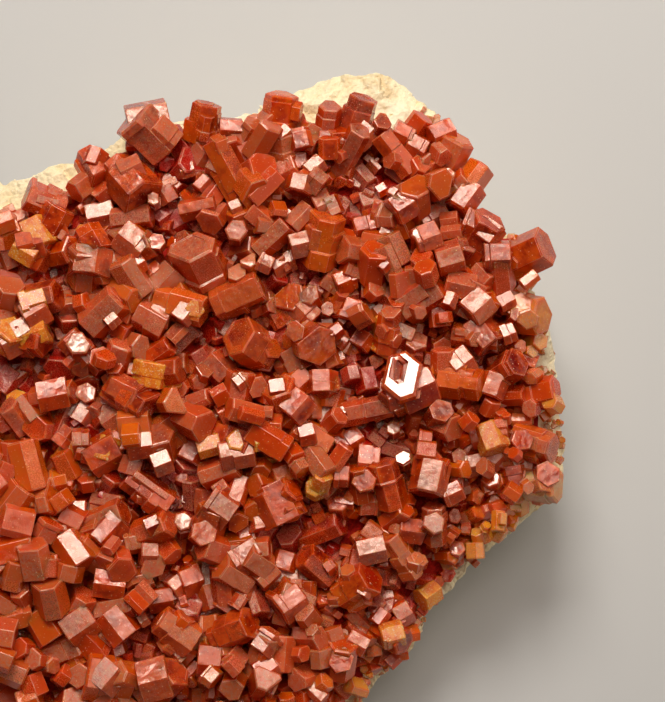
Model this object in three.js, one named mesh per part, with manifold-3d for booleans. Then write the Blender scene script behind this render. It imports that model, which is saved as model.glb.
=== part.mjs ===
// Vanadinite on matrix: a hand specimen about 100 mm across that lies on its broken underside.
//
// A wedge of pale rock carries a crust of small intergrown vanadinite crystals, and larger single
// crystals stand out of that crust. Vanadinite grows as short six-sided prisms, so every large crystal
// is a hexagonal prism with its own width, length and lean, sunk in the crust at its root.
//
// Millimetres. +Z is up, away from the surface the specimen lies on. The crystal face looks up and
// slopes down towards -Y. The origin is under the middle of the specimen, on that surface.

import * as THREE from "three";
import { mergeVertices } from "three/addons/utils/BufferGeometryUtils.js";
import Module from "manifold-3d";

const wasm = await Module();
wasm.setup();

// ---------------------------------------------------------------- driving dimensions, mm and degrees

const MIDDLE_THICKNESS = 22; // rock under the middle of the crystal face
const FACE_SLOPE = 8; // how far the face is turned down towards -Y
const EDGE_DROP = 4.5; // the face rounds off by this much at its border
const CRUST_THICKNESS = 3.4; // from the rock to the tips of the small crystals
const CRUST_INSET = 0.97; // the crust's border as a share of the face's
const GAP = 0.4; // clearance between neighbouring solids
const CRUST_GAP = 0.8; // clearance under the crust, whose facets do not match the rock's
const FOOT_SHARE = 0.76; // the flat underside's outline as a share of the face's border
const WAIST_HEIGHTS = [7, 13]; // where the broken side walls bulge
const WAIST_SHARES = [0.95, 1.0];
const SIDES = 44; // segments round the rock and the crust
const FACE_RINGS = [0.86, 0.7, 0.53, 0.36, 0.18]; // rings between the border and the middle
const CRAG = 1.2; // roughness of the broken walls
const BUMP = 0.45; // roughness of the crust

// The border of the crystal-covered face, looking down on it.
const BORDER = [
  [-31, 33], [-25, 36.5], [-18.5, 39.5], [-12.5, 44.5], [-7, 46], [-1, 45.5], [8, 46.8], [16, 47.3],
  [21, 47.2], [28, 44.8], [33.5, 41.2], [35.5, 36], [37.5, 31.5], [44, 29.5], [46.8, 25], [45.8, 19.5],
  [48, 15.5], [46.2, 10.5], [48, 4], [48.8, -2], [48.8, -8], [44, -12.5], [37.5, -18], [31, -24.5],
  [28, -30.5], [22.3, -36], [16, -43], [5, -48.5], [-8, -50], [-22, -47.5], [-35, -41], [-44, -28],
  [-48.5, -12], [-49.5, 3], [-46.5, 17], [-39, 27.5],
];

// Where bare rock stands out past the crystals: direction, spread, and how far it stands out.
const BARE_LIPS = [
  { towards: 134, spread: 15, width: 6.2 },
  { towards: 67, spread: 14, width: 7.6 },
  { towards: 2, spread: 12, width: 1.8 },
  { towards: 185, spread: 30, width: 2.2 },
  { towards: 255, spread: 22, width: 1.6 },
];

const LIP_FALL = 0.15; // how far a lip drops for each millimetre that it stands out

// Hollows and swells of the face: where, how wide, and how high (a hollow is negative).
const RELIEF = [
  { at: [-6, 29], spread: 5, rise: -2.0 },
  { at: [21, 35], spread: 5, rise: -1.8 },
  { at: [-29, 8], spread: 5, rise: -2.2 },
  { at: [8, 16], spread: 5, rise: -1.4 },
  { at: [19, 8], spread: 4, rise: -1.4 },
  { at: [14, -16], spread: 6, rise: -1.6 },
  { at: [26, -24], spread: 6, rise: -1.6 },
  { at: [-10, 42], spread: 6, rise: 1.2 },
  { at: [26, 6], spread: 6, rise: 1.0 },
  { at: [-20, -34], spread: 11, rise: 2.2 },
  { at: [42, 26], spread: 5, rise: 0.8 },
];

// The large crystals. Each stands at [x, y] on the face and has a width across its flats, a length,
// a lean from upright, the direction it leans towards, and a turn about its own axis.
const LARGE_CRYSTALS = {
  red: [
    [-10.5, 42.4, 5.6, 6.8, 62, 138, 28], [-2.8, 44.2, 4.4, 5.6, 62, 76, 20],
    [1.0, 36.6, 3.8, 10.0, 78, 118, 30], [-13.2, 35.2, 4.8, 7.0, 72, -50, 0],
    [-26.0, 32.8, 4.4, 5.6, 66, 160, 0], [-25.6, 27.6, 4.4, 9.6, 78, 60, 10],
    [-19.4, 23.6, 4.6, 5.0, 50, 80, 10], [-3.6, 24.0, 6.4, 5.2, 36, 118, 0],
    [18.4, 39.8, 3.3, 8.0, 46, 58, 0], [25.0, 39.8, 3.3, 7.0, 76, 130, 10],
    [2.8, 29.2, 3.2, 5.6, 36, 108, 5], [28.9, 26.4, 3.7, 6.6, 17, 100, 14],
    [37.2, 27.8, 4.7, 6.2, 46, 55, 10], [44.0, 25.2, 5.0, 6.8, 56, 20, 0],
    [35.9, 18.6, 3.5, 5.4, 68, 60, 14], [28.9, 18.4, 4.8, 6.4, 70, 28, 10],
    [2.4, 18.6, 4.1, 7.4, 78, 22, 12], [12.8, 12.2, 5.4, 5.4, 28, -50, 0],
    [3.9, 12.0, 4.8, 5.5, 42, 150, 0], [26.2, 6.2, 6.2, 6.6, 15.5, 102, 6],
    [-12.6, 4.6, 5.0, 7.0, 70, -35, 10], [-28.4, 13.0, 4.8, 7.5, 70, -15, 15],
    [-20.6, 11.4, 3.6, 5.0, 76, 135, 12], [1.8, -2.2, 4.8, 6.4, 66, -20, 0],
    [8.6, -10.4, 4.4, 6.0, 62, 40, 20], [-10.6, -8.8, 4.0, 7.4, 76, 145, 12],
    [-8.8, -2.6, 3.8, 5.6, 34, 98, 10], [24.0, -8.0, 3.9, 7.0, 70, 105, 0],
    [36.6, 13.0, 3.3, 6.6, 80, -10, 6], [30.2, -5.8, 3.7, 5.0, 72, -12, 6],
    [10.4, -24.0, 3.8, 5.2, 72, 155, 14], [-38.5, -3.0, 4.8, 6.6, 48, 160, 0],
    [-35.5, -22.5, 5.0, 7.5, 66, 30, 10], [-40.5, 12.5, 4.6, 6.0, 58, 100, 0],
    [-14.5, -43.5, 4.8, 6.4, 52, 250, 0], [3.5, -43.0, 4.6, 6.5, 60, 80, 15],
  ],
  orange: [
    [-18.6, 37.6, 4.2, 5.4, 70, -60, 0], [8.2, 45.8, 4.2, 5.5, 62, 80, 10],
    [19.6, 45.6, 4.3, 5.2, 58, 70, 20], [8.8, 39.6, 3.5, 6.0, 50, 96, 30],
    [14.8, 27.2, 4.8, 6.6, 55, 75, 5], [32.8, 40.2, 4.0, 5.2, 56, 60, 0],
    [-5.8, 17.2, 3.8, 7.4, 80, -16, 10], [12.8, -1.2, 3.3, 5.8, 74, 148, 8],
    [-26.8, -10.4, 5.0, 6.5, 72, 8, 20], [25.8, -18.0, 3.5, 7.2, 64, 125, 10],
    [19.4, -22.6, 4.6, 5.6, 60, 30, 0], [5.8, -32.4, 3.5, 7.6, 62, 72, 30],
    [-6.6, -28.8, 4.4, 6.0, 72, 145, 12], [-24.0, -32.0, 4.4, 8.4, 76, 22, 12],
    [-18.4, -18.0, 4.2, 6.4, 74, 148, 10], [34.4, 6.4, 4.8, 6.0, 74, -10, 4],
    [-16.0, -35.4, 4.8, 7.0, 74, 170, 10], [45.6, -2.2, 4.4, 5.2, 62, -20, 10],
  ],
  amber: [[45.0, 16.4, 4.8, 3.6, 50, -15, 0], [23.8, 13.6, 3.2, 6.0, 60, 80, 0]],
  pale: [[46.6, -8.2, 4.2, 5.0, 56, -10, 12]],
};

// Crystals of the crust that stand out of it, given in the same way. They are one piece with it.
const CRUST_CRYSTALS = [
  [-13.0, 30.0, 3.0, 5.6, 80, 5, 10], [-12.4, 25.4, 3.3, 5.4, 70, 20, 0],
  [3.6, 39.2, 2.8, 8.0, 80, 118, 0], [-3.4, 31.6, 3.0, 5.0, 78, 10, 0],
  [15.2, 44.4, 3.4, 5.0, 45, 80, 10], [27.6, 43.2, 3.2, 5.0, 60, 50, 0],
  [12.6, 34.4, 3.0, 5.0, 40, 80, 0], [7.4, 27.0, 3.3, 5.6, 72, 40, 5],
  [22.0, 23.2, 4.4, 5.0, 40, 80, 10], [25.6, 32.0, 3.6, 5.0, 30, 70, 0],
  [33.4, 34.6, 3.6, 5.5, 60, 40, 0], [40.0, 22.4, 4.0, 5.4, 50, 100, 0],
  [32.8, 23.6, 3.3, 5.0, 40, 90, 5], [41.0, 8.4, 4.2, 4.6, 40, 30, 0],
  [46.0, 5.4, 4.2, 5.0, 60, 10, 0], [38.6, -0.8, 3.0, 5.0, 76, 10, 0],
  [31.6, 0.6, 3.6, 5.0, 50, -30, 10], [19.8, -8.0, 3.0, 5.0, 60, 100, 0],
  [14.6, -6.8, 3.0, 5.0, 64, 85, 10], [20.4, 2.4, 3.2, 8.0, 80, 10, 5],
  [14.8, 5.4, 3.2, 4.6, 25, 60, 0], [8.8, 3.6, 4.0, 6.0, 40, 110, 0],
  [2.2, 5.0, 3.8, 6.0, 70, 80, 0], [-9.4, 10.6, 3.4, 5.2, 66, 30, 0],
  [-16.6, 16.4, 4.8, 6.4, 66, 40, 14], [-24.2, 4.6, 3.5, 6.0, 74, 10, 5],
  [-26.2, 18.2, 4.2, 6.0, 70, 10, 5], [-17.6, -3.6, 3.3, 6.4, 78, 170, 5],
  [-16.4, -13.0, 3.6, 5.4, 70, 20, 0], [-9.6, -14.4, 4.2, 5.6, 60, 20, 0],
  [-1.6, -13.6, 4.2, 5.6, 56, 70, 0], [0.2, -22.4, 3.1, 5.8, 72, 95, 0],
  [-14.8, -25.4, 3.4, 6.2, 78, 10, 0], [1.6, -28.6, 4.2, 6.0, 62, 20, 10],
  [-8.6, -36.4, 5.0, 6.4, 60, 40, 0], [3.8, -17.4, 3.2, 6.2, 80, 5, 0],
  [17.0, -32.8, 4.0, 5.4, 52, 80, 0], [24.4, -29.4, 3.8, 5.0, 54, -30, 0],
  [30.6, -13.6, 3.3, 5.6, 60, 95, 0], [13.6, -19.6, 3.8, 5.4, 56, 140, 0],
  [-20.6, -25.8, 4.0, 5.6, 60, 60, 0], [-30.5, -38.0, 4.4, 6.0, 60, 220, 0],
  [-42.5, -14.0, 4.4, 6.0, 60, 190, 0], [12.0, -41.0, 4.0, 6.0, 60, -60, 0],
  [-35.6, 4.6, 4.6, 6.4, 66, 60, 0], [-33.0, -15.6, 4.4, 6.2, 62, 100, 0],
  [-23.4, -41.0, 4.6, 6.0, 58, 20, 0], [-43.0, 2.4, 4.2, 5.6, 60, 150, 0],
];

// ---------------------------------------------------------------- the shape of the face

const radians = THREE.MathUtils.degToRad;

// A repeatable rough number from -1 to 1 for a ring and a segment.
const rough = (ring, segment) => {
  const wave = Math.sin(ring * 127.1 + (segment % SIDES) * 311.7) * 43758.5453;
  return 2 * (wave - Math.floor(wave)) - 1;
};

// The distance from the middle of the face to its border in each of SIDES directions.
const borderReach = (() => {
  const corners = BORDER.map(([x, y]) => new THREE.Vector3(x, y, 0));
  const line = new THREE.CatmullRomCurve3(corners, true).getSpacedPoints(720);
  const byAngle = line.map((p) => [Math.atan2(p.y, p.x), Math.hypot(p.x, p.y)]);
  return (angle) => {
    const off = ([a]) => Math.abs(Math.atan2(Math.sin(a - angle), Math.cos(a - angle)));
    return byAngle.reduce((best, here) => (off(here) < off(best) ? here : best))[1];
  };
})();

const REACH = Array.from({ length: SIDES }, (_, i) => borderReach((i / SIDES) * 2 * Math.PI));

// How far out a point is, from 0 in the middle of the face to 1 at its border.
const share = (x, y) => {
  const turns = Math.atan2(y, x) / (2 * Math.PI);
  const place = (turns - Math.floor(turns)) * SIDES;
  const i = Math.floor(place) % SIDES;
  const reach = THREE.MathUtils.lerp(REACH[i], REACH[(i + 1) % SIDES], place - Math.floor(place));
  return Math.hypot(x, y) / reach;
};

// The height of the rock under the crystals.
const rockHeight = (x, y) => {
  const slope = y * Math.tan(radians(FACE_SLOPE));
  const rounding = EDGE_DROP * Math.min(share(x, y), 1.1) ** 6;
  const relief = RELIEF.reduce((sum, { at, spread, rise }) => {
    const off = Math.hypot(x - at[0], y - at[1]) / spread;
    return sum + rise * Math.exp(-(off ** 2));
  }, 0);
  return MIDDLE_THICKNESS + slope - rounding + relief;
};

const crustHeight = (x, y) => rockHeight(x, y) + CRUST_THICKNESS;

const lipWidth = (angle) =>
  BARE_LIPS.reduce((widest, { towards, spread, width }) => {
    const off = Math.atan2(Math.sin(angle - radians(towards)), Math.cos(angle - radians(towards)));
    return Math.max(widest, width * Math.exp(-((off / radians(spread)) ** 2)));
  }, 0);

// ---------------------------------------------------------------- making solids

// A closed skin from rings of points: the first and last rings are single points on the axis.
// Each ring is a function of (segment, angle) that returns a Vector3.
const ringedGeometry = (rings) => {
  const last = rings.length - 1;
  const profile = rings.map((_, k) => new THREE.Vector2(k === 0 || k === last ? 0 : 1, k));
  const lathe = new THREE.LatheGeometry(profile, SIDES);
  const place = lathe.getAttribute("position");
  for (let i = 0; i <= SIDES; i++)
    rings.forEach((ring, k) => {
      const segment = i % SIDES;
      const p = ring(segment, (segment / SIDES) * 2 * Math.PI);
      place.setXYZ(i * rings.length + k, p.x, p.y, p.z);
    });
  return welded(lathe);
};

// The same geometry with shared corners and no collapsed triangles.
const welded = (geometry) => {
  const bare = new THREE.BufferGeometry().setAttribute("position", geometry.getAttribute("position"));
  const merged = mergeVertices(bare.setIndex(geometry.index), 1e-4);
  const kept = [];
  for (let i = 0; i < merged.index.count; i += 3) {
    const [a, b, c] = [0, 1, 2].map((j) => merged.index.getX(i + j));
    if (a !== b && b !== c && c !== a) kept.push(a, b, c);
  }
  return merged.setIndex(kept);
};

const toSolid = (geometry) =>
  new wasm.Manifold(
    new wasm.Mesh({
      numProp: 3,
      vertProperties: geometry.getAttribute("position").array,
      triVerts: new Uint32Array(geometry.index.array),
    }),
  );

const toGeometry = (solid) => {
  const { numProp, numVert, vertProperties, triVerts } = solid.getMesh();
  const points = new Float32Array(numVert * 3);
  for (let i = 0; i < numVert; i++)
    points.set(vertProperties.subarray(i * numProp, i * numProp + 3), i * 3);
  const geometry = new THREE.BufferGeometry();
  geometry.setAttribute("position", new THREE.BufferAttribute(points, 3));
  geometry.setIndex(new THREE.BufferAttribute(triVerts, 1));
  geometry.computeVertexNormals();
  return geometry;
};

// ---------------------------------------------------------------- the rock and the crust

const onFace = (part, angle, segment) => {
  const reach = REACH[segment] * part;
  return new THREE.Vector3(Math.cos(angle) * reach, Math.sin(angle) * reach, 0);
};

// A ring of the face, raised over the rock.
const faceRing = (part, lift, roughness, seed) => (segment, angle) => {
  const p = onFace(part, angle, segment);
  return p.setZ(rockHeight(p.x, p.y) + lift + roughness * rough(seed, segment));
};

// A point over or under the middle of the face.
const middle = (height) => () => new THREE.Vector3(0, 0, height);

// The broken walls, from the flat underside up to the lip. They are grown outwards by grow.
const wallRings = (grow) => {
  const waist = (part, height, seed) => (segment, angle) => {
    const p = onFace(part, angle, segment);
    const shelf = lipWidth(angle) * (0.4 + (0.5 * height) / MIDDLE_THICKNESS);
    const out = grow + shelf + CRAG * rough(seed, segment);
    const away = new THREE.Vector3(Math.cos(angle), Math.sin(angle), 0).multiplyScalar(out);
    return p.add(away).setZ(height + 1.2 * CRAG * rough(seed + 1, segment));
  };
  const lip = (segment, angle) => {
    const p = onFace(1, angle, segment);
    const top = rockHeight(p.x, p.y) - 1.2;
    const away = new THREE.Vector3(Math.cos(angle), Math.sin(angle), 0);
    p.add(away.multiplyScalar(grow + lipWidth(angle) + 0.5 * CRAG * rough(7, segment)));
    return p.setZ(top - LIP_FALL * lipWidth(angle));
  };
  const [low, high] = WAIST_HEIGHTS;
  return [waist(WAIST_SHARES[0], low, 3), waist(WAIST_SHARES[1], high, 5), lip];
};

const rockGeometry = () =>
  ringedGeometry([
    middle(0),
    (segment, angle) => onFace(FOOT_SHARE * 0.5, angle, segment),
    (segment, angle) => onFace(FOOT_SHARE, angle, segment),
    ...wallRings(0),
    ...[0.985, ...FACE_RINGS].map((part) => faceRing(part, 0, 0, 0)),
    middle(rockHeight(0, 0)),
  ]);

const crustGeometry = () => {
  const underside = [...FACE_RINGS].reverse().map((part) => faceRing(part, CRUST_GAP, 0, 0));
  const edge = faceRing(CRUST_INSET, CRUST_GAP, 0, 0);
  const rim = faceRing(CRUST_INSET, CRUST_THICKNESS * 0.55, BUMP, 11);
  const top = FACE_RINGS.map((part, k) => faceRing(part, CRUST_THICKNESS, BUMP, 13 + k));
  return ringedGeometry([
    middle(rockHeight(0, 0) + CRUST_GAP),
    ...underside,
    edge,
    rim,
    ...top,
    middle(crustHeight(0, 0)),
  ]);
};

// A block with the broken walls' outline, grown by the gap, that reaches from under the rock to a face.
const blockSolid = (rim, face, height) =>
  toSolid(
    ringedGeometry([
      middle(-5),
      (segment, angle) => onFace(1, angle, segment).setZ(-5),
      ...wallRings(GAP + 0.1),
      rim,
      ...FACE_RINGS.map(face),
      middle(height),
    ]),
  );

// What the large crystals are cut back from: the rock and the crust.
const groundSolid = () => {
  const rim = faceRing(1, CRUST_THICKNESS * 0.55 + GAP, BUMP, 11);
  const face = (part, k) => faceRing(part, CRUST_THICKNESS + GAP, BUMP, 13 + k);
  return blockSolid(rim, face, crustHeight(0, 0) + GAP);
};

// What the crust's own crystals are cut back from: the rock alone.
const rockClearance = () => {
  const face = (part) => faceRing(part, CRUST_GAP, 0, 0);
  return blockSolid(faceRing(1, CRUST_GAP, 0, 0), face, rockHeight(0, 0) + CRUST_GAP);
};

// ---------------------------------------------------------------- the large crystals

const CENTRE_LIFT = 0.32; // height of a crystal's middle over the crust, as a share of its width
const CAP_BEVEL = 0.16; // width of the slanting end faces, as a share of the corner radius

// A six-sided prism about its own Z axis, with the small slanting faces that end each crystal.
const prismGeometry = (across, length) => {
  const corner = across / Math.sqrt(3);
  const cap = corner * CAP_BEVEL;
  const profile = [
    [0, -length / 2],
    [corner - cap, -length / 2],
    [corner, -length / 2 + 0.7 * cap],
    [corner, length / 2 - 0.7 * cap],
    [corner - cap, length / 2],
    [0, length / 2],
  ];
  const prism = new THREE.LatheGeometry(profile.map(([r, z]) => new THREE.Vector2(r, z)), 6);
  return welded(prism.rotateX(Math.PI / 2));
};

// Where a crystal sits: its own +Z is the prism's axis, pointing out of the rock.
const placement = ([x, y, across, , lean, towards, turn]) => {
  const place = new THREE.Object3D();
  place.position.set(x, y, crustHeight(x, y) + CENTRE_LIFT * across);
  const tilt = new THREE.Quaternion().setFromEuler(new THREE.Euler(0, radians(lean), 0));
  const swing = new THREE.Quaternion().setFromEuler(new THREE.Euler(0, 0, radians(towards)));
  const spin = new THREE.Quaternion().setFromEuler(new THREE.Euler(0, 0, radians(turn)));
  place.quaternion.copy(swing.multiply(tilt).multiply(spin));
  place.updateMatrix();
  return place;
};

const largestBody = (solid) => solid.decompose().reduce((a, b) => (b.volume() > a.volume() ? b : a));

// The whole prism of one row, made bigger all round by grow.
const prismSolid = (row, grow = 0) => {
  const prism = toSolid(prismGeometry(row[2] + 2 * grow, row[3] + 2 * grow));
  return prism.transform([...placement(row).matrix.elements]);
};

const growCrystal = (ground, row, finish) => {
  const solid = largestBody(prismSolid(row).subtract(ground));
  return { finish, place: placement(row), members: 1, solid };
};

// The crust with the crystals that have grown out of it. Each is cut back from its large neighbours.
const crustSolid = () => {
  const neighbours = Object.values(LARGE_CRYSTALS).flat();
  const reach = (a, b) => (a[3] + b[3]) * 0.75 + 2;
  const cleared = (row) =>
    neighbours
      .filter((other) => Math.hypot(row[0] - other[0], row[1] - other[1]) < reach(row, other))
      .reduce((solid, other) => solid.subtract(prismSolid(other, GAP)), prismSolid(row))
      .subtract(rockClearance());
  const grown = CRUST_CRYSTALS.reduce((sum, row) => sum.add(cleared(row)), toSolid(crustGeometry()));
  return largestBody(grown);
};

// Crystals that have grown into each other become one solid.
const joinTouching = (crystals) => {
  const groups = [];
  for (const crystal of crystals) {
    const touching = groups.filter((g) => g.solid.minGap(crystal.solid, GAP) < GAP / 2);
    const joined = touching.reduce(
      (sum, g) => ({ ...g, members: g.members + sum.members, solid: g.solid.add(sum.solid) }),
      crystal,
    );
    const pieces = joined.solid.decompose();
    touching.forEach((g) => groups.splice(groups.indexOf(g), 1));
    groups.push(pieces.length > 1 ? { ...joined, solid: largestBody(joined.solid) } : joined);
  }
  return groups;
};

const crystalMesh = ({ place, solid }, name, material) => {
  const own = place.matrix.clone().invert();
  const mesh = new THREE.Mesh(toGeometry(solid.transform([...own.elements])), material);
  mesh.name = name;
  mesh.position.copy(place.position);
  mesh.quaternion.copy(place.quaternion);
  return mesh;
};

// ---------------------------------------------------------------- the specimen

const finish = (color, roughness) => new THREE.MeshStandardMaterial({ color, roughness, metalness: 0 });

const MATERIALS = {
  rock: finish(0xe6d3a4, 0.9),
  crust: finish(0x8f3218, 0.4),
  red: finish(0xa83a1c, 0.25),
  orange: finish(0xc9501c, 0.25),
  amber: finish(0xc98a2c, 0.3),
  pale: finish(0xe8b98c, 0.4),
};

const named = (name, geometry, material) => {
  const mesh = new THREE.Mesh(geometry, material);
  geometry.computeVertexNormals();
  mesh.name = name;
  return mesh;
};

const specimen = new THREE.Group();
specimen.add(named("matrix_rock", rockGeometry(), MATERIALS.rock));
specimen.add(named("small_crystal_crust", toGeometry(crustSolid()), MATERIALS.crust));

const ground = groundSolid();
const grown = Object.entries(LARGE_CRYSTALS).flatMap(([colour, rows]) =>
  rows.map((row) => growCrystal(ground, row, colour)),
);
const counts = {};
for (const group of joinTouching(grown)) {
  const kind = group.members > 1 ? `${group.finish}_crystal_group` : `${group.finish}_crystal`;
  counts[kind] = (counts[kind] || 0) + 1;
  const name = `${kind}_${String(counts[kind]).padStart(2, "0")}`;
  specimen.add(crystalMesh(group, name, MATERIALS[group.finish]));
}

// Rest the specimen on z = 0 with the middle of its box over the origin.
const box = new THREE.Box3().setFromObject(specimen, true);
const centre = box.getCenter(new THREE.Vector3());
specimen.position.set(-centre.x, -centre.y, -box.min.z);

const root = new THREE.Group();
root.add(specimen);

export default root;
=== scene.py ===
"""Vanadinite on matrix: the specimen's rock, its crust of small crystals and its large crystals."""

import math

import bmesh
import bpy
import numpy as np
from bpy.props import FloatProperty, FloatVectorProperty, IntProperty, PointerProperty
from mathutils import Euler, Matrix, Vector, kdtree, noise
from mathutils.bvhtree import BVHTree


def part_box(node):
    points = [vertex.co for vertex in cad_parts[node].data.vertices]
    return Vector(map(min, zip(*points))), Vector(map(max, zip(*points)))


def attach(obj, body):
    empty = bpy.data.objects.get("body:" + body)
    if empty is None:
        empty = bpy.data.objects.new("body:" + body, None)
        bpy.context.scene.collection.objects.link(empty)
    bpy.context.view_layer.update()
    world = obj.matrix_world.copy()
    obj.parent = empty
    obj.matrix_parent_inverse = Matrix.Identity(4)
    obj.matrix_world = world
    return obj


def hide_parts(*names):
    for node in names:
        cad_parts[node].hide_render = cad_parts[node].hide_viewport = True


bl_info = {
    "name": "Vanadinite Specimen",
    "version": (1, 0, 0),
    "blender": (4, 5, 0),
    "location": "View3D > Sidebar > Specimen",
    "description": "Builds a vanadinite specimen on its rock, and the stage it is shown on",
    "category": "Object",
}

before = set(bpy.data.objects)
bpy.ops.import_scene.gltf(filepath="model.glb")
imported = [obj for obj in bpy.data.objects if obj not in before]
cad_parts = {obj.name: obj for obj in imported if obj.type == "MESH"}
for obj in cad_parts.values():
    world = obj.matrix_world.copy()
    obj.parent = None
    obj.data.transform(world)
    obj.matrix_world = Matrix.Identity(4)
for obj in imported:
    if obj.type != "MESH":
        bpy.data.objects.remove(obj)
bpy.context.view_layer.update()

MM = 0.001
ROOT = "root"

# The crystal face is laid out in millimetres from a point of its own, which lies here in the frame.
FACE_ORIGIN = Vector((0.658, -1.339))
CRUST_TOP = 3.4  # height of the CAD crust's tips over the rock
SKIN_TOP = 1.3  # height of the skin between the crystals over the rock
SKIN_KNOBS = 0.7  # height of the skin's knobs
SKIN_DEPTH = 1.6
RIM_MARGIN = 1.0  # how far scattered crystals stay back from the crust's upper rim
CENTRE_LIFT = 0.32  # height of a large crystal's middle over the crust, as a share of its width
LEAST_TOP, MOST_TOP = 0.6, 4.0  # lowest and highest that open_height goes over the crust's tips
SHAKE = 0.42  # how far scattered crystals stray from their grid, as a share of its spacing
ROW_STEP = 0.87  # distance between the rows of that grid, as a share of its spacing
REACH = 6  # distance within which crystals can touch
CRUMB_TRIES = 5000  # places that are tried for a crumb on the bare rock
SLANT = 0.16  # width of the slanting end faces, as a share of the corner radius
LEDGE = 0.012  # half the length of the slope at a growth step, as a share of the width
SHARP = 0.35  # angle from which an edge is worn, in radians
UPRIGHT = 20  # lean up to which a crystal shows its end, in degrees
ROOTS = (1.4, 0.2)  # how far steep and flat-lying crystals reach on into the crust
PATTERN_SPREAD = 40  # half the size of the field that the crystals' patterns are drawn from
# The specks are partly real specks and partly painted sparkle.
SPECK_AND_SPARKLE = (1.0, 0.58, 0.30)  # colour of the specks in the crystals
FRACTURES = 420  # broken faces on the rock
NOISE_SEED = 5  # fixes the offsets of noise_vector, which are drawn from the clock otherwise

# The hollow in the end of the widest upright crystal: the way it lies off the middle, its measures
# as shares of the crystal's width, and the slope of its floor.
PIT_TOWARDS = math.radians(14)
PIT_RIM = 0.17
PIT_SHIFT = 0.155
PIT_WALL = 0.02
PIT_STEPS = (0.12, 0.08)
PIT_LEDGE = 0.10
PIT_SLOPE = 0.30

VIEW_LIFT = 82.0  # the camera's height above the horizon, in degrees
VIEW_CENTRE = (15.9, 10.9)  # what the camera looks at, on the crystal face
VIEW_DISTANCE = 252.0
LENS = 90.0
SENSOR = 36.0

# The stage, in metres. Far from the specimen the floor has a glow that only the camera sees.
FLOOR_HALF = 0.7
FLOOR_COLOUR = (0.55, 0.54, 0.52, 1)
FLOOR_FADE = (0.13, 0.50)  # distances between which the glow grows
FLOOR_GLOW = 0.46
PAPER = (1.0, 0.985, 0.96, 1)  # colour of that glow and of the room
ROOM_LIGHT = 0.04  # brightness of the room as a light
ROOM_SEEN = 0.50  # brightness of the room as the camera sees it

# Lamps: direction, distance, size, radiance, colour.
KEY_FROM = (-0.10, 0.62, 0.78)
CANOPY_FROM = (0.05, 0.42, 0.90)
LAMPS = {
    "key": (KEY_FROM, 0.42, (0.16, 0.14), 20.0, (1.0, 0.96, 0.91)),
    "canopy": (CANOPY_FROM, 0.55, (0.58, 0.46), 1.0, (1.0, 0.92, 0.84)),
    "bank": ((0.20, 0.30, 0.93), 0.50, (0.20, 0.34), 2.2, (1.0, 0.90, 0.84)),
    "right": ((0.9, 0.1, 0.45), 0.45, (0.12, 0.30), 2.2, (1.0, 0.90, 0.80)),
    "fill": ((0.70, -0.55, 0.45), 0.45, (0.20, 0.20), 1.0, (1.0, 0.88, 0.74)),
}

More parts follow.
